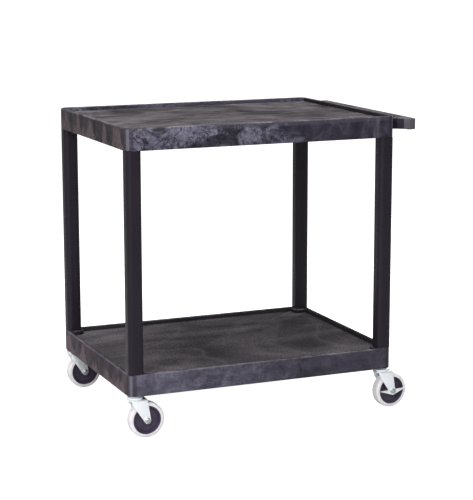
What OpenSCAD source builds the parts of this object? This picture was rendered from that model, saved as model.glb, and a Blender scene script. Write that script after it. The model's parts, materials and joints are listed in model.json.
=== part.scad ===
// Two-shelf service trolley in moulded structural foam, with four stem casters.
// +X runs along the trolley towards the push handle, +Y to the back, +Z up.
// The floor is z = 0 and the origin is under the middle of the whole trolley.

/* [Shelves] */
// length of a shelf, without the handle
shelf_l = 813; // [600:1:1100]
// depth of a shelf, front to back
shelf_d = 610; // [400:1:800]
// height of the top shelf's lip above the floor
overall_h = 864; // [760:1:960]
// height of the lower shelf's lip above the floor
lower_lip_z = 184; // [176:1:300]
// height of a shelf's skirt, from the lip down to the bottom edge
skirt_h = 62; // [50:1:90]
// thickness of the skirt wall
skirt_t = 7; // [4:0.5:10]
// height of the lip above the deck
lip_h = 12; // [6:1:30]
// width of the lip's flat top
lip_w = 10; // [8:1:20]
// thickness of the deck
deck_t = 7; // [4:0.5:12]
// plan radius of a shelf's outside corners
corner_r = 24; // [10:1:40]
// thickness of the ribs under a deck
rib_t = 5; // [3:0.5:8]
// depth of the ribs under a deck
rib_h = 22; // [8:1:30]
// number of ribs across the shelf
ribs_across = 5; // [2:1:9]
// number of ribs along the shelf
ribs_along = 3; // [1:1:6]

/* [Legs] */
// width of a leg
leg_w = 44; // [36:1:56]
// corner radius of a leg
leg_r = 14; // [6:1:18]
// distance from a shelf's sharp corner to the centre of a leg
leg_inset = 24; // [24:1:60]
// wall thickness of a leg
leg_t = 5; // [3:0.5:8]
// depth of the spigot at each end of a leg
spigot_l = 40; // [25:1:44]
// step from a leg's face in to its spigot
spigot_step = 5; // [3:0.5:8]
// play between a spigot and its socket
socket_play = 0.3; // [0.2:0.05:1]
// width of the raised pad that a leg stands on
pad_w = 52; // [48:1:70]
// radius of the pad's inner corner
pad_r = 16; // [8:1:20]

/* [Handle] */
// reach of the handle beyond the shelf
handle_reach = 75; // [50:1:120]
// width of the grip bar, seen from above
grip_w = 30; // [25:1:45]
// height of the grip bar
grip_h = 32; // [20:1:40]
// gap between the end of the grip bar and the shelf's front or back face
grip_end = 12; // [0:1:60]
// radius of the grip bar's ends
grip_r = 12; // [6:1:17]
// width of the arm where it meets the shelf
arm_w = 30; // [20:1:60]
// hollow in the outer face of an arm
arm_scoop_r = 48; // [40:1:60]

/* [Wheels] */
// diameter of a wheel
wheel_d = 101.6; // [75:0.1:102]
// thickness of the tyre
tyre_t = 10; // [5:0.5:14]
// radius of the tyre's shoulders
tyre_r = 6; // [2:0.5:9]
// distance of the axle behind the swivel axis
trail = 30; // [15:1:40]
// diameter of the axle bolt
axle_d = 8; // [6:0.5:10]
// radial play of the wheel on its axle
wheel_play = 0.06; // [0.02:0.01:0.1]
// outside diameter of the hub's boss
boss_d = 26; // [18:1:34]

/* [Forks] */
// width across the fork's ears
fork_w = 40; // [36:1:48]
// gap between the tyre and an ear
side_gap = 2; // [1:0.5:5]
// thickness of the fork's sheet metal
fork_t = 3; // [2:0.5:4]
// how far the crown reaches ahead of the swivel axis
crown_fore = 22; // [20:1:28]
// radius of the ears around the axle
ear_r = 9.5; // [8:0.5:14]
// width of an ear's top edge behind the axle
ear_back = 0; // [0:1:8]
// distance of an ear's front corner ahead of the swivel axis
ear_fore = 12; // [4:1:16]
// drop of an ear's front corner below the crown
ear_drop = 15; // [8:1:22]
// outside bend radius of the fork
bend_r = 6; // [4:0.5:9]
// diameter of the bearing cup
race_d = 43; // [30:1:44]
// thickness of the bearing cup
race_h = 5.5; // [4:0.5:8]
// gap for the balls
ball_gap = 3; // [2:0.5:5]
// number of balls
balls = 16; // [8:1:24]
// play of the balls in their gap
ball_play = 0.05; // [0.02:0.01:0.1]
// diameter of the king pin
pin_d = 9; // [6:0.5:12]
// radial play of the fork on its king pin
pin_play = 0.05; // [0.02:0.01:0.1]
// diameter of the stem
stem_d = 11; // [9:0.5:13]
// outside diameter of the stem's socket sleeve
sleeve_d = 17; // [14:0.5:20]
// length of the stem's socket sleeve
sleeve_l = 40; // [30:1:50]
// turn of the front caster at the handle end, seen from above
front_turn = 4.5; // [-10:0.5:10]

/* [Brake levers] */
// span of a lever, tip to tip
lever_span = 83; // [60:1:90]
// thickness of a lever
lever_t = 2.5; // [1.5:0.5:4]
// drop of a lever's lower edge below the axle
lever_drop = 12.8; // [10:0.2:18]
// height of a lever's upper edge above the axle
lever_rise = 4.5; // [3:0.5:9]
// width of the foot pad along each wing
pad_out = 7; // [4:1:8]
// length of the foot pads
pad_l = 24; // [12:1:28]
// tilt of a lever when released
lever_tilt = 1.5; // [0:0.5:10]
// play beside a lever
lever_play = 0.3; // [0.2:0.05:0.6]

/* [Hidden] */
$fn = 64;
eps = 0.01;
overall_l = shelf_l + handle_reach;
lower_z = lower_lip_z - skirt_h;
upper_z = overall_h - skirt_h;
deck_in = skirt_h - lip_h;
crown_z = lower_z - 2 - race_h - ball_gap;
axle_z = wheel_d / 2;
ear_in = fork_w / 2 - fork_t;
wheel_w = 2 * (ear_in - side_gap);
hub_r = wheel_d / 2 - tyre_t;
spigot_w = leg_w - 2 * spigot_step;
spigot_r = max(leg_r - spigot_step, 2);
bore_w = spigot_w - 2 * leg_t + 2;
bore_r = max(spigot_r - leg_t + 1, 1);
leg_z = lower_lip_z;
leg_l = upper_z - lower_lip_z;
socket_w = spigot_w + 2 * socket_play;
socket_r = spigot_r + socket_play;
socket_h = spigot_l + 2;
grip_z = deck_in - grip_h;
slot_l = shelf_d - 2 * (leg_inset + leg_w / 2 + arm_w);
flange_t = 2;
head_t = 5;
nut_t = 6.5;
pos_fl = [leg_inset, leg_inset];
pos_fr = [shelf_l - leg_inset, leg_inset];
pos_bl = [leg_inset, shelf_d - leg_inset];
pos_br = [shelf_l - leg_inset, shelf_d - leg_inset];
black = [0.10, 0.10, 0.11];
charcoal = [0.27, 0.26, 0.29];
zinc = [0.86, 0.87, 0.89];
grey = [0.80, 0.80, 0.79];
hub_col = [0.28, 0.28, 0.32];

module rsq(w, d, r) {
    // rectangle with rounded corners, lower left corner at the origin
    union() {
        translate([r, 0]) square([w - 2 * r, d]);
        translate([0, r]) square([w, d - 2 * r]);
        for (x = [r, w - r], y = [r, d - r]) translate([x, y]) circle(r = r);
    }
}

module crsq(w, r) {
    translate([-w / 2, -w / 2]) rsq(w, w, r);
}

module at_corners() {
    for (p = [pos_fl, pos_fr, pos_bl, pos_br]) translate([p[0], p[1], 0]) children();
}

// A shelf without its legs' sockets, bottom edge at z = 0.
module shelf_body() {
    difference() {
        linear_extrude(skirt_h) rsq(shelf_l, shelf_d, corner_r);
        translate([lip_w, lip_w, deck_in])
            linear_extrude(lip_h + 1) rsq(shelf_l - 2 * lip_w, shelf_d - 2 * lip_w, corner_r - lip_w);
        translate([skirt_t, skirt_t, -1])
            linear_extrude(deck_in - deck_t + 1)
                rsq(shelf_l - 2 * skirt_t, shelf_d - 2 * skirt_t, corner_r - skirt_t);
    }
    for (i = [1 : ribs_across])
        translate([shelf_l * i / (ribs_across + 1) - rib_t / 2, skirt_t / 2, deck_in - deck_t - rib_h])
            cube([rib_t, shelf_d - skirt_t, rib_h + deck_t / 2]);
    for (i = [1 : ribs_along])
        translate([skirt_t / 2, shelf_d * i / (ribs_along + 1) - rib_t / 2, deck_in - deck_t - rib_h])
            cube([shelf_l - skirt_t, rib_t, rib_h + deck_t / 2]);
}

// Block that fills a shelf's corner under the deck.
module corner_block(h) {
    for (m = [0, 1], n = [0, 1])
        translate([m * shelf_l, n * shelf_d, 0])
            mirror([m, 0, 0]) mirror([0, n, 0])
                linear_extrude(h) intersection() {
                    rsq(shelf_l / 2, shelf_d / 2, corner_r);
                    translate([-pad_r, -pad_r]) rsq(pad_w + pad_r, pad_w + pad_r, pad_r);
                }
}

module top_shelf() color(charcoal) translate([0, 0, upper_z]) {
    difference() {
        union() {
            shelf_body();
            corner_block(deck_in - deck_t / 2);
            handle();
        }
        at_corners() translate([0, 0, -1]) linear_extrude(socket_h + 1) crsq(socket_w, socket_r);
    }
}

// Grip bar and its two arms, moulded in one with the top shelf.
module handle() {
    translate([shelf_l, 0, grip_z]) linear_extrude(grip_h) difference() {
        union() {
            translate([handle_reach - grip_w, grip_end]) rsq(grip_w, shelf_d - 2 * grip_end, grip_r);
            for (m = [0, 1]) translate([0, m * shelf_d]) mirror([0, m])
                difference() {
                    translate([-skirt_t / 2, grip_end + grip_r])
                        square([handle_reach - grip_w + skirt_t, leg_inset + leg_w / 2 + arm_w
                            + grip_r - grip_end - grip_r]);
                    translate([5, 0]) circle(r = arm_scoop_r);
                }
        }
        translate([0, (shelf_d - slot_l) / 2]) rsq(handle_reach - grip_w, slot_l, grip_r);
    }
}

module bottom_shelf() color(charcoal) translate([0, 0, lower_z]) {
    difference() {
        union() {
            shelf_body();
            corner_block(skirt_h);
        }
        at_corners() translate([0, 0, skirt_h - socket_h]) linear_extrude(socket_h + 1)
            crsq(socket_w, socket_r);
        at_corners() translate([0, 0, -1]) cylinder(d = sleeve_d, h = skirt_h);
    }
}

module leg(p) color(black) translate([p[0], p[1], leg_z]) difference() {
    union() {
        linear_extrude(leg_l) crsq(leg_w, leg_r);
        translate([0, 0, -spigot_l]) linear_extrude(leg_l + 2 * spigot_l) crsq(spigot_w, spigot_r);
    }
    translate([0, 0, -spigot_l - 1]) linear_extrude(leg_l + 2 * spigot_l + 2) crsq(bore_w, bore_r);
}

// Metal socket pressed into the shelf's corner block.
module sleeve(p) color(zinc) translate([p[0], p[1], lower_z - flange_t]) difference() {
    union() {
        cylinder(d = race_d - 6, h = flange_t);
        cylinder(d = sleeve_d, h = sleeve_l + flange_t);
    }
    translate([0, 0, -1]) cylinder(d = stem_d, h = sleeve_l + flange_t + 2);
}

// Stem with its bearing cup and king pin, which stay still while the fork turns.
module stem(p) color(zinc) translate([p[0], p[1], 0]) rotate_extrude() polygon([
    [0, crown_z - fork_t - 4.5], [pin_d / 2 + 2, crown_z - fork_t - 4.5],
    [pin_d / 2 + 3.5, crown_z - fork_t - 3], [pin_d / 2 + 3.5, crown_z - fork_t - 0.4],
    [pin_d / 2, crown_z - fork_t - 0.4], [pin_d / 2, crown_z + ball_gap],
    [race_d / 2 - 2, crown_z + ball_gap], [race_d / 2 - 2, crown_z + 0.6],
    [race_d / 2, crown_z + 0.6], [race_d / 2, crown_z + ball_gap + race_h - 2.5],
    [race_d / 2 - 2.5, crown_z + ball_gap + race_h], [stem_d / 2, crown_z + ball_gap + race_h],
    [stem_d / 2, lower_z + sleeve_l - 5], [stem_d / 2 - 2, lower_z + sleeve_l - 2],
    [0, lower_z + sleeve_l - 2]
]);

module ball_ring(p) color(zinc) translate([p[0], p[1], crown_z + ball_gap / 2]) {
    translate([0, 0, -0.5]) difference() {
        cylinder(r = race_d / 2 - 3, h = 1);
        translate([0, 0, -1]) cylinder(r = race_d / 2 - 7, h = 3);
    }
    for (i = [0 : balls - 1]) rotate([0, 0, i * 360 / balls]) translate([race_d / 2 - 5, 0, 0])
        sphere(r = ball_gap / 2 - ball_play, $fn = 24);
}

// The point where the line from p touches the circle (c, r), on side s.
function touch(p, c, r, s) =
    let (v = c - p, d = norm(v), a = atan2(v[1], v[0]) + s * asin(r / d), t = sqrt(d * d - r * r))
    [p[0] + t * cos(a), p[1] + t * sin(a)];

module ear_side() {
    c = [trail, axle_z];
    a = [-ear_fore, crown_z - ear_drop];
    b = [trail + ear_back, crown_z];
    polygon([
        [-crown_fore, crown_z], [-crown_fore, crown_z - fork_t], a,
        touch(a, c, ear_r, -1), c, touch(b, c, ear_r, 1), b
    ]);
    translate(c) circle(r = ear_r);
}

module fork_section() {
    translate([-fork_w / 2, 0]) difference() {
        union() {
            square([fork_w, crown_z - bend_r]);
            translate([0, crown_z - 2 * bend_r - 1]) rsq(fork_w, 2 * bend_r + 1, bend_r);
        }
        translate([fork_t, -1]) square([fork_w - 2 * fork_t, crown_z - bend_r + 1]);
        translate([fork_t, crown_z - bend_r - 6])
            rsq(fork_w - 2 * fork_t, 6 + bend_r - fork_t, bend_r - fork_t);
    }
}

module fork() color(zinc) difference() {
    intersection() {
        translate([-60, 0, 0]) rotate([90, 0, 90]) linear_extrude(120) fork_section();
        translate([0, 60, 0]) rotate([90, 0, 0]) linear_extrude(120) ear_side();
        union() {
            cylinder(r = crown_fore, h = crown_z + 10);
            translate([0, -fork_w, 0]) cube([trail + 40, 2 * fork_w, crown_z + 10]);
        }
    }
    translate([0, 0, crown_z - 20]) cylinder(d = pin_d + 2 * pin_play, h = 30);
    translate([trail, 60, axle_z]) rotate([90, 0, 0]) cylinder(d = axle_d, h = 120);
}

// The side of the lever's plate is kept free between the ear and the bolt's head.
module axle(braked) color(zinc) translate([trail, 0, axle_z]) rotate([90, 0, 0]) {
    side = fork_w / 2 + (braked ? lever_t + 2 * lever_play : 0);
    translate([0, 0, -fork_w / 2 - nut_t - 2]) cylinder(d = axle_d, h = side + fork_w / 2 + nut_t + 3);
    translate([0, 0, side]) {
        cylinder(d = 1.9 * axle_d, h = head_t - 1.5);
        translate([0, 0, head_t - 1.5]) cylinder(d1 = 1.9 * axle_d, d2 = 1.3 * axle_d, h = 1.5);
    }
}

module nut() color(zinc) translate([trail, fork_w / 2, axle_z]) rotate([-90, 0, 0]) difference() {
    cylinder(r = 6.5 / cos(30), h = nut_t, $fn = 6);
    translate([0, 0, -1]) cylinder(d = axle_d, h = nut_t + 2);
}

module hub() color(hub_col) translate([trail, 0, axle_z]) rotate([90, 0, 0]) rotate_extrude() polygon([
    [axle_d / 2 + wheel_play, -ear_in + 0.4], [boss_d / 2 - 1, -ear_in + 0.4],
    [boss_d / 2, -ear_in + 1.4], [boss_d / 2, -7],
    [boss_d / 2 + 3, -5], [hub_r - 8, -6], [hub_r - 4.5, -wheel_w / 2 + 2], [hub_r, -wheel_w / 2 + 2],
    [hub_r, wheel_w / 2 - 2], [hub_r - 4.5, wheel_w / 2 - 2], [hub_r - 8, 6], [boss_d / 2 + 3, 5],
    [boss_d / 2, 7], [boss_d / 2, ear_in - 1.4],
    [boss_d / 2 - 1, ear_in - 0.4], [axle_d / 2 + wheel_play, ear_in - 0.4]
]);

module tyre() color(grey) translate([trail, 0, axle_z]) rotate([90, 0, 0]) rotate_extrude($fn = 96)
    difference() {
        translate([hub_r - 2 * tyre_r, -wheel_w / 2]) rsq(tyre_t + 2 * tyre_r, wheel_w, tyre_r);
        translate([0, -wheel_w / 2 - 1]) square([hub_r, wheel_w + 2]);
    }

// Gull-wing plate that rocks on the axle bolt, with a foot pad turned outwards along each wing.
module brake_lever() color(zinc) translate([trail, -fork_w / 2 - lever_play, axle_z])
    rotate([0, -lever_tilt, 0]) rotate([90, 0, 0]) difference() {
        union() {
            linear_extrude(lever_t) {
                circle(d = axle_d + 8);
                polygon([
                    [0, -lever_drop], [lever_span / 2, lever_rise - lever_t],
                    [lever_span / 2, lever_rise], [-lever_span / 2, lever_rise],
                    [-lever_span / 2, lever_rise - lever_t]
                ]);
            }
            for (m = [0, 1]) mirror([m, 0, 0])
                translate([lever_span / 2 - pad_l, lever_rise - lever_t, 0]) cube([pad_l, lever_t, pad_out]);
        }
        translate([0, 0, -1]) cylinder(d = axle_d + 2 * wheel_play, h = lever_t + 2);
    }

module at(p, a) {
    translate([p[0], p[1], 0]) rotate([0, 0, a]) children();
}

translate([-overall_l / 2, -shelf_d / 2, 0]) {
    top_shelf();
    bottom_shelf();
    leg(pos_fl);  // leg_fl
    leg(pos_fr);  // leg_fr
    leg(pos_bl);  // leg_bl
    leg(pos_br);  // leg_br

    sleeve(pos_fl);  // sleeve_fl
    stem(pos_fl);  // stem_fl
    ball_ring(pos_fl);  // ball_ring_fl
    at(pos_fl, 0) fork();  // fork_fl
    at(pos_fl, 0) axle(false);  // axle_fl
    at(pos_fl, 0) nut();  // nut_fl
    at(pos_fl, 0) hub();  // hub_fl
    at(pos_fl, 0) tyre();  // tyre_fl

    sleeve(pos_fr);  // sleeve_fr
    stem(pos_fr);  // stem_fr
    ball_ring(pos_fr);  // ball_ring_fr
    at(pos_fr, front_turn) fork();  // fork_fr
    at(pos_fr, front_turn) axle(true);  // axle_fr
    at(pos_fr, front_turn) nut();  // nut_fr
    at(pos_fr, front_turn) hub();  // hub_fr
    at(pos_fr, front_turn) tyre();  // tyre_fr
    at(pos_fr, front_turn) brake_lever();  // brake_lever_fr

    sleeve(pos_bl);  // sleeve_bl
    stem(pos_bl);  // stem_bl
    ball_ring(pos_bl);  // ball_ring_bl
    at(pos_bl, 0) fork();  // fork_bl
    at(pos_bl, 0) axle(false);  // axle_bl
    at(pos_bl, 0) nut();  // nut_bl
    at(pos_bl, 0) hub();  // hub_bl
    at(pos_bl, 0) tyre();  // tyre_bl

    sleeve(pos_br);  // sleeve_br
    stem(pos_br);  // stem_br
    ball_ring(pos_br);  // ball_ring_br
    at(pos_br, 0) fork();  // fork_br
    at(pos_br, 0) axle(true);  // axle_br
    at(pos_br, 0) nut();  // nut_br
    at(pos_br, 0) hub();  // hub_br
    at(pos_br, 0) tyre();  // tyre_br
    at(pos_br, 0) brake_lever();  // brake_lever_br
}
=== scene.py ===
import json
import math

import bmesh
import bpy
from mathutils import Matrix, Vector


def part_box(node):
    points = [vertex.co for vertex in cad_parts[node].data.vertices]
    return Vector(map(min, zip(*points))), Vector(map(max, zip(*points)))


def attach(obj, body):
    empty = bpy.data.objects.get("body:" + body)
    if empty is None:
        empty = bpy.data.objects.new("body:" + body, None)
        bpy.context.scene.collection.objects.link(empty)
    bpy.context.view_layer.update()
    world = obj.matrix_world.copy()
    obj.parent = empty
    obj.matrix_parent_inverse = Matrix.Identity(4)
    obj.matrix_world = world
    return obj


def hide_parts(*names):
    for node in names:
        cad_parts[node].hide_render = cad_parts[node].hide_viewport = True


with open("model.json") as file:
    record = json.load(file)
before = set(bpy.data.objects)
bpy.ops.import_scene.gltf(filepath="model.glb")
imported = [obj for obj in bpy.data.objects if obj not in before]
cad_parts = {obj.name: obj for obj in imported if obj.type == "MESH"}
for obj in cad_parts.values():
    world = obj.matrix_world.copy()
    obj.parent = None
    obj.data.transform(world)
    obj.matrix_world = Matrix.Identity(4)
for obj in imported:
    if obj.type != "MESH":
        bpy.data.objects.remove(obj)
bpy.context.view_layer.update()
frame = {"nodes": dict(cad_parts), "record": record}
cad = frame["nodes"]

# ---------------------------------------------------------------- camera
EYE = Vector((-1.8673, -4.4203, 1.3673))
YAW = math.radians(22.949)
PITCH = math.radians(10.836)
ROLL = math.radians(-0.097)
LENS_MM = 118.10
SENSOR_MM = 36


def place_camera():
    """The camera at EYE, turned by YAW and PITCH, and leaning a little by ROLL."""
    ahead = Vector((math.sin(YAW) * math.cos(PITCH), math.cos(YAW) * math.cos(PITCH), -math.sin(PITCH)))
    right = Vector((math.cos(YAW), -math.sin(YAW), 0))
    up = right.cross(ahead)
    across = right * math.cos(ROLL) + up * math.sin(ROLL)
    upward = up * math.cos(ROLL) - right * math.sin(ROLL)
    lens = bpy.data.cameras.new("camera")
    lens.sensor_width = SENSOR_MM
    lens.lens = LENS_MM
    camera = bpy.data.objects.new("camera", lens)
    stand = Matrix((across, upward, -ahead)).transposed().to_4x4()
    camera.matrix_world = Matrix.Translation(EYE) @ stand
    bpy.context.scene.collection.objects.link(camera)
    bpy.context.scene.camera = camera


place_camera()


# ---------------------------------------------------------------- materials
class Paint:
    """A material under construction, with short names for its nodes."""

    def __init__(self, name, rough, metal=0.0, spec=0.5):
        self.mat = bpy.data.materials.new(name)
        self.mat.use_nodes = True
        self.tree = self.mat.node_tree
        self.shader = self.tree.nodes["Principled BSDF"]
        self.put(self.shader, Roughness=rough, Metallic=metal)
        self.put(self.shader, **{"Specular IOR Level": spec})
        self.where = self.tree.nodes.new("ShaderNodeTexCoord").outputs["Object"]
        self.facing = self.where.node.outputs["Normal"]

    def put(self, node, **values):
        for key, value in values.items():
            if isinstance(value, bpy.types.NodeSocket):
                self.tree.links.new(value, node.inputs[key])
            else:
                node.inputs[key].default_value = value

    def stretch(self, scale, turn=(0, 0, 0), move=(0, 0, 0)):
        """The piece's own coordinates, stretched, turned or moved for a pattern."""
        node = self.tree.nodes.new("ShaderNodeMapping")
        self.put(node, Vector=self.where, Scale=scale, Rotation=turn, Location=move)
        return node.outputs[0]

    def cloud(self, scale, detail=4, rough=0.55, warp=0.0, at=None):
        """Soft noise; a larger scale is finer, and warp makes it flow."""
        node = self.tree.nodes.new("ShaderNodeTexNoise")
        self.put(node, Vector=at or self.where, Scale=scale, Detail=detail)
        self.put(node, Roughness=rough, Distortion=warp)
        return node.outputs["Fac"]

    def cells(self, scale):
        """Small round cells."""
        node = self.tree.nodes.new("ShaderNodeTexVoronoi")
        self.put(node, Vector=self.where, Scale=scale)
        return node.outputs["Distance"]

    def ramp(self, value, *stops):
        """Colours that follow a pattern, one at each stop."""
        node = self.tree.nodes.new("ShaderNodeValToRGB")
        band = node.color_ramp
        while len(band.elements) < len(stops):
            band.elements.new(0.5)
        for element, (place, colour) in zip(band.elements, stops):
            element.position = place
            element.color = (*colour, 1)
        self.put(node, Fac=value)
        return node.outputs["Color"]

    def mix(self, how, fac, a, b):
        """Colour b over colour a. A Mix node has its colours in sockets 6 and 7."""
        node = self.tree.nodes.new("ShaderNodeMix")
        node.data_type, node.blend_type = "RGBA", how
        for socket, value in ((0, fac), (6, a), (7, b)):
            if isinstance(value, bpy.types.NodeSocket):
                self.tree.links.new(value, node.inputs[socket])
            elif socket:
                node.inputs[socket].default_value = (*value, 1)
            else:
                node.inputs[socket].default_value = value
        return node.outputs[2]

    def maths(self, how, a, b=0.0):
        """A sum, product or other step on one or two patterns or numbers."""
        node = self.tree.nodes.new("ShaderNodeMath")
        node.operation = how
        for i, value in enumerate((a, b)):
            if isinstance(value, bpy.types.NodeSocket):
                self.tree.links.new(value, node.inputs[i])
            else:
                node.inputs[i].default_value = value
        return node.outputs[0]

    def times(self, first, *others):
        for other in others:
            first = self.maths("MULTIPLY", first, other)
        return first

    def span(self, value, lo, hi, to_lo=0.0, to_hi=1.0):
        """to_lo where value is lo, to_hi where it is hi, and a slope between them."""
        node = self.tree.nodes.new("ShaderNodeMapRange")
        self.put(node, Value=value, **{"From Min": lo, "From Max": hi, "To Min": to_lo, "To Max": to_hi})
        return node.outputs[0]

    def shade(self, colour, value, *stops, fac=1.0):
        """The colour made darker or paler by greys that follow a pattern."""
        greys = [(place, grey(v)) for place, v in stops]
        return self.mix("MULTIPLY", fac, colour, self.ramp(value, *greys))

    def part(self, vector, letter):
        """X, Y or Z of a place or a direction."""
        node = self.tree.nodes.new("ShaderNodeSeparateXYZ")
        self.put(node, Vector=vector)
        return node.outputs[letter]

    def bump(self, *layers):
        """Fine relief; each layer is a pattern, its strength and its depth."""
        normal = None
        for height, strength, depth in layers:
            node = self.tree.nodes.new("ShaderNodeBump")
            self.put(node, Height=height, Strength=strength, Distance=depth)
            if normal:
                self.put(node, Normal=normal)
            normal = node.outputs[0]
        self.put(self.shader, Normal=normal)

    def done(self, colour, rough=None):
        """The finished material, with its colour and, where given, its varied roughness."""
        self.put(self.shader, **{"Base Color": colour})
        if rough is not None:
            self.put(self.shader, Roughness=rough)
        return self.mat


def grey(v):
    return (v, v, v)


# The shelves' places. Both have the outline of the lower one; the upper one has the handle too.
lower_lo, lower_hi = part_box("bottom_shelf")
upper_lo, upper_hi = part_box("top_shelf")
shelf_mid = (lower_lo.x + lower_hi.x) / 2
half_length = (lower_hi.x - lower_lo.x) / 2
half_depth = (lower_hi.y - lower_lo.y) / 2
between_shelves = (lower_hi.z + upper_lo.z) / 2
LIP_HEIGHT = 0.012
LIP_WIDTH = 0.010
CORNER_RADIUS = 0.024
lower_deck = lower_hi.z - LIP_HEIGHT
upper_deck = upper_hi.z - LIP_HEIGHT

# The foam's colours. A row of stops has a place on a pattern, from 0 to 1, before each colour.
SKIRT_DARK = (0.008, 0.0072, 0.012)
SKIRT_MID = (0.036, 0.033, 0.048)
SKIRT_PALE = (0.150, 0.142, 0.195)
CALM_SKIRT = (
    (0.34, (0.017, 0.0150, 0.024)), (0.52, (0.031, 0.0275, 0.043)), (0.70, (0.058, 0.053, 0.076)),
)
HAZY_SKIRT = (
    (0.36, (0.058, 0.052, 0.078)), (0.52, (0.108, 0.099, 0.140)), (0.68, (0.170, 0.158, 0.214)),
)
UNDER_LIP = (0.062, 0.057, 0.083)
DRAGGED = (0.105, 0.094, 0.112)
END_SKIRT = (
    (0.36, (0.028, 0.0228, 0.0265)), (0.50, (0.047, 0.0378, 0.0430)), (0.62, (0.060, 0.0490, 0.0540)),
)
END_WEDGE = (0.104, 0.0810, 0.0870)
LOWER_END_TINT = (1.24, 1.14, 1.27)
# painted shade for the inward faces at the handle end
HANDLE_END_INSIDE_SHADE = (0.004, 0.0035, 0.005)
UPPER_DECK = (
    (0.34, (0.024, 0.0210, 0.0240)), (0.46, (0.046, 0.0405, 0.0455)),
    (0.54, (0.070, 0.0618, 0.0670)), (0.66, (0.106, 0.095, 0.101)),
)
LOWER_DECK = (
    (0.32, (0.036, 0.0315, 0.037)), (0.50, (0.066, 0.058, 0.066)), (0.66, (0.112, 0.100, 0.112)),
)
SWIRL_LINE = (0.150, 0.138, 0.150)
# painted shade for the inner faces of the lower shelf's lips
LOWER_LIP_INSIDE_SHADE = (0.007, 0.0055, 0.009)
# painted shade for the lower shelf's raised corner pads and for the groove at the foot of its lips
PAD_SHADE = (0.010, 0.0085, 0.013)
GROOVE_SHADE = (0.008, 0.0065, 0.010)
# painted highlight along the tops of the lips
LIP_HIGHLIGHT = (0.19, 0.177, 0.205)
# painted shade band and painted highlight line for the rounded corners
CORNER_SHADE_BAND = (0.026, 0.023, 0.033)
CORNER_HIGHLIGHT = (0.17, 0.158, 0.195)
# painted shade for the hollow between the shelf's end and the grip bar
HANDLE_HOLLOW_SHADE = (0.006, 0.0045, 0.009)
GRIP_BAR = (0.072, 0.062, 0.070)

WEDGE_SPACING = 0.12
WEDGE_SLOPE = 17
WEDGE_RAGGED = 3.0


class ShelfFaces:
    """Where on a shelf a point lies, measured in metres from the shelf's own outline."""

    def __init__(self, p):
        along = p.part(p.where, "X")
        from_middle = p.maths("ABSOLUTE", p.maths("SUBTRACT", along, shelf_mid))
        across = p.maths("ABSOLUTE", p.part(p.where, "Y"))
        self.height = p.part(p.where, "Z")
        self.upright = p.part(p.facing, "Z")
        # how far past the shelf's end towards the handle, so below 0 on the shelf itself
        self.reach = p.maths("SUBTRACT", along, lower_hi.x)
        # how far in from the nearer end, from the front or back, and both together
        self.from_end = p.maths("SUBTRACT", half_length, from_middle)
        self.from_side = p.maths("SUBTRACT", half_depth, across)
        self.from_corner = p.maths("ADD", self.from_end, self.from_side)
        self.low = p.maths("LESS_THAN", self.height, between_shelves)
        self.high = p.maths("GREATER_THAN", self.height, between_shelves)
        # 1 inside the skirts' outer faces and the rounded corners, 0 on them
        self.inner = p.times(
            p.span(self.from_end, 0.0045, 0.0065),
            p.span(self.from_side, 0.0030, 0.0050),
            p.span(self.from_corner, CORNER_RADIUS, CORNER_RADIUS + 0.001),
        )


def long_skirts(p, at, drift, crackle):
    """Front and back: mottled with pale flow marks, calmer towards the handle, hazy on the lower shelf."""
    patch = p.cloud(6.0, 3, 0.5, 2.2, at=p.stretch((1, 1, 1.8), move=(0.31, 0.1, 0.2)))
    side = p.mix("MIX", p.span(patch, 0.41, 0.53), SKIRT_MID, SKIRT_PALE)
    side = p.shade(side, crackle, (0.32, 0.35), (0.50, 0.82), (0.66, 1.3))
    vein = p.maths("ABSOLUTE", p.maths("SUBTRACT", p.cloud(9, 4, 0.6, 3.0), 0.5))
    side = p.mix("MIX", p.span(vein, 0.0, 0.05, 0.85, 0.0), side, SKIRT_DARK)

    calm = p.ramp(p.cloud(18, 6, 0.64, 1.5), *CALM_SKIRT)
    ragged = p.maths("ADD", at.reach, p.times(drift, 0.4))
    side = p.mix("MIX", p.span(ragged, -0.229, -0.009), side, calm)

    haze = p.ramp(p.cloud(9, 6, 0.62, 1.4, at=p.stretch((1, 1, 1.5))), *HAZY_SKIRT)
    haze = p.mix("MULTIPLY", p.span(at.reach, -0.689, -0.319, 0.0, 0.85), haze, grey(0.40))
    side = p.mix("MIX", p.times(at.low, 0.72), side, haze)

    # an even strip under the upper lip, away from the far end
    strip = p.span(at.height, upper_deck - 0.003, upper_deck + 0.002, 0, 0.65)
    strip = p.times(strip, p.span(at.reach, -0.629, -0.549))
    side = p.mix("MIX", strip, side, p.shade(UNDER_LIP, crackle, (0.3, 0.7), (0.7, 1.2)))

    # dragged streaks on the upper shelf, short of the handle
    streaks = p.cloud(60, 3, 0.5, at=p.stretch((1, 1, 0.12)))
    beside = p.times(p.span(at.reach, -0.109, -0.089), p.span(at.reach, -0.054, -0.044, 1, 0))
    drag = p.times(beside, p.span(streaks, 0.44, 0.60, 0, 0.6), at.high)
    return p.mix("MIX", drag, side, DRAGGED)


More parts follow.
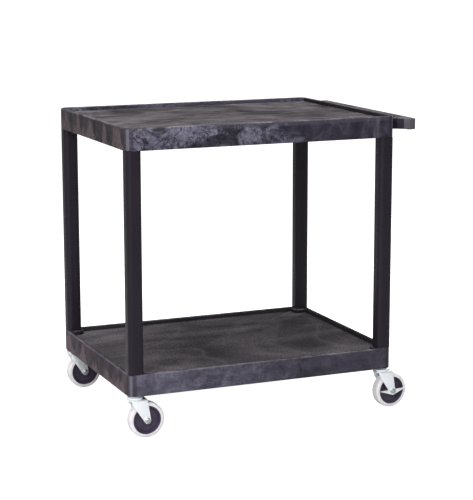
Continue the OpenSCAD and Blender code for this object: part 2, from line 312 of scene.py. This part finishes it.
def end_skirts(p, at, drift):
    """Ends: pale wedges that stand on the bottom edge; inner faces at the handle end get painted shade."""
    swing = p.maths("ADD", p.part(p.where, "Y"), p.times(drift, 0.12))
    tooth = p.times(p.maths("PINGPONG", swing, WEDGE_SPACING / 2), WEDGE_SLOPE)
    lower_rise = p.times(at.low, p.span(at.height, lower_lo.z, lower_hi.z))
    rise = p.maths("ADD", p.span(at.height, upper_lo.z, upper_hi.z), lower_rise)
    blotch = p.cloud(9, 3, 0.5, 1.6, at=p.stretch((1, 1, 0.7)))
    edge = p.times(p.maths("SUBTRACT", blotch, 0.5), WEDGE_RAGGED)
    wedge = p.maths("ADD", p.maths("SUBTRACT", tooth, rise), edge)
    end = p.mix("MIX", p.span(wedge, 0.0, 0.30, 0.0, 0.85), p.ramp(blotch, *END_SKIRT), END_WEDGE)
    end = p.shade(end, p.cloud(40, 6, 0.7, 1.0), (0.3, 0.62), (0.7, 1.2))
    end = p.mix("MULTIPLY", at.low, end, LOWER_END_TINT)

    # painted shade on the faces at the handle end that face inwards, the lip's and the grip's
    by_handle = p.maths("GREATER_THAN", at.reach, -0.029)
    faces_inwards = p.maths("LESS_THAN", p.part(p.facing, "X"), -0.3)
    return p.mix("MIX", p.times(by_handle, faces_inwards, 0.85), end, HANDLE_END_INSIDE_SHADE)


def decks(p, at, streak, grain):
    """Clouded above, broad swirls with fine speckle below."""
    curl = p.cloud(22, 5, 0.6, 1.2, at=p.stretch((0.8, 1.3, 1), turn=(0, 0, 0.4)))
    upper = p.ramp(streak, *UPPER_DECK)
    upper = p.shade(upper, curl, (0.36, 0.7), (0.50, 1.0), (0.64, 1.30), fac=0.8)

    broad = p.cloud(2.4, 4, 0.5, 1.6, at=p.stretch((0.8, 1.5, 1), turn=(0, 0, 0.6)))
    swirl = p.cloud(1.7, 3, 0.45, 1.2, at=p.stretch((1, 1.3, 1)))
    flow = p.maths("ABSOLUTE", p.maths("SUBTRACT", swirl, 0.5))
    lower = p.ramp(broad, *LOWER_DECK)
    lower = p.mix("MIX", p.span(flow, 0.0, 0.030, 0.28, 0.0), lower, SWIRL_LINE)
    lower = p.shade(lower, p.cloud(210, 4, 0.7), (0.38, 0.42), (0.62, 1.55))
    return p.shade(p.mix("MIX", at.low, upper, lower), grain, (0.1, 0.62), (0.6, 1.22))


def lip_highlights(p, at):
    """How strongly a painted highlight lies on the tops of the lips: unevenly, less on the ends, not by
    the legs.
    """
    lower_lip = p.times(at.low, p.span(at.height, lower_hi.z - 0.0035, lower_hi.z - 0.0008))
    lips = p.maths("ADD", lower_lip, p.span(at.height, upper_hi.z - 0.0040, upper_hi.z - 0.0010))
    uneven = p.span(p.cloud(14, 5, 0.7, 0.8), 0.42, 0.60, 0.05, 0.75)
    clear_of_ends = p.span(at.from_end, 0.0515, 0.0715)
    clear_of_sides = p.span(at.from_side, 0.0150, 0.0300)
    clear_of_legs = p.maths("MAXIMUM", clear_of_ends, clear_of_sides)
    less_on_ends = p.span(at.from_end, 0.0115, 0.0215, 0.35, 1.0)
    return p.times(lips, uneven, clear_of_legs, less_on_ends)


def lower_tray(p, at, skin):
    """The lower shelf's raised pads and the groove at the foot of its lips get painted shade."""
    pad = p.times(
        p.span(at.from_end, LIP_WIDTH + 0.0005, LIP_WIDTH + 0.0010),
        p.span(at.from_side, LIP_WIDTH + 0.0005, LIP_WIDTH + 0.0010),
        p.span(at.height, lower_deck + 0.0005, lower_deck + 0.0010, 0, 0.75),
        at.low,
    )
    near_lip = p.span(p.maths("MINIMUM", at.from_end, at.from_side), 0.014, 0.018, 1, 0)
    # painted shade on the raised pads, then along the groove at the foot of the lips
    skin = p.mix("MIX", pad, skin, PAD_SHADE)
    return p.mix("MIX", p.times(near_lip, at.inner, at.low, 0.85), skin, GROOVE_SHADE)


def corner_shade_and_highlight(p, at, skin):
    """The rounded corners have a painted dark band of shade, and a painted highlight line down their
    middle.
    """
    skin = p.mix("MIX", p.span(at.from_corner, 0.0200, 0.0225, 0.70, 0), skin, CORNER_SHADE_BAND)
    return p.mix("MIX", p.span(at.from_corner, 0.0144, 0.0150, 0.55, 0), skin, CORNER_HIGHLIGHT)


def push_handle(p, at, skin):
    """The hollow between the shelf and the grip bar gets painted shade, and the bar is a little paler."""
    # where the painted shade of the hollow lies: past the shelf's end, short of the bar, on faces that are
    # not upright
    hollow = p.times(
        p.span(at.reach, 0.004, 0.010),
        p.span(at.reach, 0.042, 0.0445, 1, 0),
        p.span(at.upright, 0.5, 0.8, 1, 0),
        0.85,
    )
    bar = p.times(p.span(at.reach, 0.0445, 0.048), p.span(at.upright, 0.5, 0.9, 0.8, 0.35))
    skin = p.mix("MIX", hollow, skin, HANDLE_HOLLOW_SHADE)
    return p.mix("MIX", bar, skin, GRIP_BAR)


def foam_plastic():
    """Dark structural foam of both shelves and the push handle."""
    p = Paint("foam_plastic", rough=0.6, spec=0.12)
    at = ShelfFaces(p)
    drift = p.cloud(2.2, 3, 0.5, 0.6)
    crackle = p.cloud(85, 7, 0.75, 1.0)
    fine = p.cloud(130, 5, 0.75, 0.4)
    streak = p.cloud(6.0, 7, 0.62, 0.9, at=p.stretch((0.8, 1.3, 1.3), turn=(0, 0, -0.35)))
    grain = p.cells(300)

    endways = p.maths("ABSOLUTE", p.part(p.facing, "X"))
    side, end = long_skirts(p, at, drift, crackle), end_skirts(p, at, drift)
    skin = p.mix("MIX", p.span(endways, 0.90, 0.985), side, end)
    # painted shade on the inner faces of the lower shelf's lips
    skin = p.mix("MIX", p.times(at.inner, at.low, 0.95), skin, LOWER_LIP_INSIDE_SHADE)
    skin = p.mix("MIX", p.span(at.upright, 0.60, 0.85), skin, decks(p, at, streak, grain))
    # painted shade on the lower shelf's pads and lip groove
    skin = lower_tray(p, at, skin)
    skin = p.shade(skin, fine, (0.3, 0.55), (0.7, 1.25), fac=0.6)
    # painted highlight along the lip tops
    skin = p.mix("MIX", lip_highlights(p, at), skin, LIP_HIGHLIGHT)
    # painted shade band and painted highlight line on the rounded corners
    skin = corner_shade_and_highlight(p, at, skin)
    # painted shade in the hollow by the grip
    skin = push_handle(p, at, skin)
    p.bump((grain, 0.4, 0.0009), (crackle, 0.3, 0.0014))
    return p.done(skin, p.span(streak, 0.3, 0.7, 0.50, 0.72))


def black_plastic():
    """Satin black of the legs."""
    p = Paint("black_plastic", rough=0.42, spec=0.22)
    faint = p.cloud(3.0, 4, 0.6, 1.0, at=p.stretch((4, 4, 0.6)))
    colour = p.ramp(
        faint,
        (0.3, (0.0095, 0.0062, 0.0115)), (0.6, (0.0130, 0.0090, 0.0158)), (0.8, (0.018, 0.013, 0.021)),
    )
    p.bump((p.cloud(500, 3), 0.08, 0.0004))
    return p.done(colour, p.span(p.cloud(40, 4), 0.3, 0.7, 0.36, 0.48))


def zinc_plate():
    """Pale zinc of the forks, levers, stems and sleeves."""
    p = Paint("zinc_plate", rough=0.3, metal=0.65)
    colour = p.shade((0.905, 0.94, 0.975), p.cells(160), (0.0, 0.7), (0.6, 1.08), fac=0.13)
    return p.done(colour, p.span(p.cloud(60, 3), 0.3, 0.7, 0.28, 0.36))


def bolt_steel():
    """Duller steel of the axle bolts, nuts and ball rings."""
    p = Paint("bolt_steel", rough=0.42, metal=1.0)
    colour = p.shade((0.50, 0.51, 0.54), p.cloud(300, 4), (0.3, 0.6), (0.7, 1.1), fac=0.5)
    return p.done(colour, p.span(p.cloud(160, 4), 0.3, 0.7, 0.34, 0.52))


def hub_plastic():
    """Dark violet-grey of the wheel hubs."""
    p = Paint("hub_plastic", rough=0.45, spec=0.35)
    mottle = p.cloud(30, 5, 0.6, 0.8)
    colour = p.ramp(mottle, (0.3, (0.029, 0.021, 0.042)), (0.7, (0.056, 0.042, 0.079)))
    p.bump((p.cloud(300, 3), 0.1, 0.0004))
    return p.done(colour, p.span(p.cloud(60, 4), 0.3, 0.7, 0.38, 0.52))


def pale_rubber():
    """Off-white of the tyres."""
    p = Paint("pale_rubber", rough=0.55, spec=0.3)
    mottle = p.cloud(45, 6, 0.65, 0.6)
    colour = p.ramp(mottle, (0.3, (0.675, 0.650, 0.680)), (0.7, (0.79, 0.765, 0.79)))
    p.bump((p.cloud(400, 3), 0.1, 0.0004))
    return p.done(colour, p.span(p.cloud(80, 4), 0.3, 0.7, 0.5, 0.65))


FOAM = foam_plastic()
ZINC = zinc_plate()
BOLT = bolt_steel()
FINISH = {
    "shelf_plastic": FOAM,
    "leg_plastic": black_plastic(),
    "zinc_steel": ZINC,
    "hub_plastic": hub_plastic(),
    "tyre_rubber": pale_rubber(),
}
for entry in frame["record"]["subparts"]:
    mesh = cad[entry["node"]].data
    mesh.materials.clear()
    bolted = entry["node"].startswith(("axle", "nut", "ball"))
    mesh.materials.append(BOLT if bolted else FINISH[entry["material_slot"]])


# ---------------------------------------------------------------- pieces
SMOOTH_BELOW = math.radians(35)
TURN_ABOVE = math.radians(40)
JOIN_FLAT = math.radians(0.5)
WELD = 2e-6
OUTER_LIP_ROUND = 0.0045
INNER_LIP_ROUND = 0.0020
BOTTOM_ROUND = 0.0025
GRIP_ROUND = 0.0035
FORK_ROUND = 0.0006
LEVER_ROUND = 0.0007


def piece(name, bm, material, body):
    """A finished piece of the trolley that rides on its body."""
    mesh = bpy.data.meshes.new(name)
    bm.to_mesh(mesh)
    bm.free()
    mesh.materials.append(material)
    mesh.shade_smooth()
    mesh.set_sharp_from_angle(angle=SMOOTH_BELOW)
    obj = bpy.data.objects.new(name, mesh)
    bpy.context.scene.collection.objects.link(obj)
    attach(obj, body)
    return obj


def solid_of(node):
    """The node's own solid, with its loose triangles joined into clean faces."""
    bm = bmesh.new()
    bm.from_mesh(cad[node].data)
    bmesh.ops.remove_doubles(bm, verts=bm.verts, dist=WELD)
    bmesh.ops.dissolve_limit(bm, angle_limit=JOIN_FLAT, verts=bm.verts, edges=bm.edges)
    bmesh.ops.recalc_face_normals(bm, faces=bm.faces)
    return bm


def soften(bm, chosen, width, steps, clamp=True):
    """Round the chosen edges."""
    edges = [e for e in bm.edges if e.is_valid and len(e.link_faces) == 2 and chosen(e)]
    bmesh.ops.bevel(bm, geom=edges, offset=width, offset_type="OFFSET", segments=steps, profile=0.5,
                    affect="EDGES", clamp_overlap=clamp, material=-1)


def turns(edge):
    """True if the surface turns a corner at the edge."""
    return edge.calc_face_angle(0) > TURN_ABOVE


def level(edge, z, slack=0.0004):
    """True if the whole edge lies at that height."""
    return all(abs(v.co.z - z) < slack for v in edge.verts)


def outside(edge, box, slack=0.0005):
    """True if the edge lies on the shelf's outer outline, rounded corners too."""
    lo, hi = box
    r = CORNER_RADIUS
    for v in edge.verts:
        dx = min(v.co.x - lo.x, hi.x - v.co.x)
        dy = min(v.co.y - lo.y, hi.y - v.co.y)
        if dx > r or dy > r:
            if min(abs(dx), abs(dy)) > slack:
                return False
        elif abs(math.hypot(r - dx, r - dy) - r) > slack * 2:
            return False
    return True


def shelf(node):
    """A shelf with its lips, its lower edge and, where it has one, its grip bar rounded."""
    bm = solid_of(node)
    plan = (lower_lo, lower_hi)
    lo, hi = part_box(node)
    top, bottom = hi.z, lo.z
    has_handle = hi.x > lower_hi.x + 0.01
    soften(bm, lambda e: turns(e) and level(e, top) and outside(e, plan), OUTER_LIP_ROUND, 4)
    soften(bm, lambda e: turns(e) and level(e, top, 0.0002) and not outside(e, plan), INNER_LIP_ROUND, 3)
    soften(bm, lambda e: turns(e) and level(e, bottom) and outside(e, plan), BOTTOM_ROUND, 3)
    if has_handle:
        # the bar's top is level with the deck, and its edges stand clear of the shelf's end
        grip = [e for e in bm.edges if turns(e) and min(v.co.x for v in e.verts) > lower_hi.x + 0.0003]
        over, under = top - LIP_HEIGHT, min(v.co.z for e in grip for v in e.verts)
        soften(bm, lambda e: e in grip and (level(e, over) or level(e, under)), GRIP_ROUND, 4, clamp=False)
    obj = piece(node + "_shell", bm, FOAM, "cart")
    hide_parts(node)


def pressed(node, body, width):
    """A stamped steel piece with its cut edges rubbed round."""
    bm = solid_of(node)
    soften(bm, turns, width, 2)
    obj = piece(node + "_pressed", bm, ZINC, body)
    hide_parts(node)


shelf("top_shelf")
shelf("bottom_shelf")
for corner in ("fl", "fr", "bl", "br"):
    pressed("fork_" + corner, "caster_" + corner, FORK_ROUND)
for corner in ("fr", "br"):
    pressed("brake_lever_" + corner, "brake_" + corner, LEVER_ROUND)


# ---------------------------------------------------------------- floor and light
FLOOR_REACH = 30
TROLLEY_MIDDLE = Vector((0, 0, 0.45))
BRIGHT_SIDE = Vector((-0.55, -0.55, 0.62)).normalized()


def pale_floor():
    """A wide floor that looks plain white but throws little light back."""
    bm = bmesh.new()
    bmesh.ops.create_grid(bm, x_segments=1, y_segments=1, size=FLOOR_REACH)
    mesh = bpy.data.meshes.new("floor")
    bm.to_mesh(mesh)
    bm.free()
    p = Paint("floor_paper", rough=0.9, spec=0.1)
    p.put(p.shader, **{"Emission Color": (1, 1, 1, 1)})
    seen = p.tree.nodes.new("ShaderNodeLightPath").outputs["Is Camera Ray"]
    p.put(p.shader, **{"Emission Strength": p.span(seen, 0, 1, 0.05, 1.0)})
    mesh.materials.append(p.done(p.ramp(p.cloud(0.6, 2), (0.3, grey(0.55)), (0.7, grey(0.57)))))
    floor = bpy.data.objects.new("floor", mesh)
    bpy.context.scene.collection.objects.link(floor)


def soft_sky():
    """Plain white to look at; the light that it gives is brighter from the front left above."""
    world = bpy.data.worlds.new("studio")
    world.use_nodes = True
    tree = world.node_tree
    back = tree.nodes["Background"]
    back.inputs["Color"].default_value = (1, 1, 1, 1)
    seen = tree.nodes.new("ShaderNodeLightPath").outputs["Is Camera Ray"]
    way = tree.nodes.new("ShaderNodeTexCoord").outputs["Generated"]
    lean = tree.nodes.new("ShaderNodeVectorMath")
    lean.operation = "DOT_PRODUCT"
    lean.inputs[1].default_value = BRIGHT_SIDE
    tree.links.new(way, lean.inputs[0])
    soft = tree.nodes.new("ShaderNodeMapRange")
    for key, value in (("From Min", -0.3), ("From Max", 1.0), ("To Min", 0.10), ("To Max", 0.85)):
        soft.inputs[key].default_value = value
    tree.links.new(lean.outputs["Value"], soft.inputs["Value"])
    # a Mix node for numbers has them in sockets 2 and 3
    pick = tree.nodes.new("ShaderNodeMix")
    tree.links.new(seen, pick.inputs[0])
    tree.links.new(soft.outputs[0], pick.inputs[2])
    pick.inputs[3].default_value = 1.0
    tree.links.new(pick.outputs[0], back.inputs["Strength"])
    bpy.context.scene.world = world


def soft_lamp(name, place, size, power):
    """A square lamp that points at the middle of the trolley."""
    light = bpy.data.lights.new(name, "AREA")
    light.shape = "SQUARE"
    light.size = size
    light.energy = power
    lamp = bpy.data.objects.new(name, light)
    lamp.location = place
    aim = TROLLEY_MIDDLE - Vector(place)
    lamp.rotation_euler = aim.to_track_quat("-Z", "Y").to_euler()
    bpy.context.scene.collection.objects.link(lamp)


pale_floor()
soft_sky()
soft_lamp("key", (-2.4, -3.2, 2.6), size=1.8, power=110)
soft_lamp("over", (-0.6, -0.2, 3.4), size=2.2, power=90)
soft_lamp("fill", (3.0, 1.6, 1.8), size=1.6, power=38)
bpy.context.scene.view_settings.view_transform = "Standard"
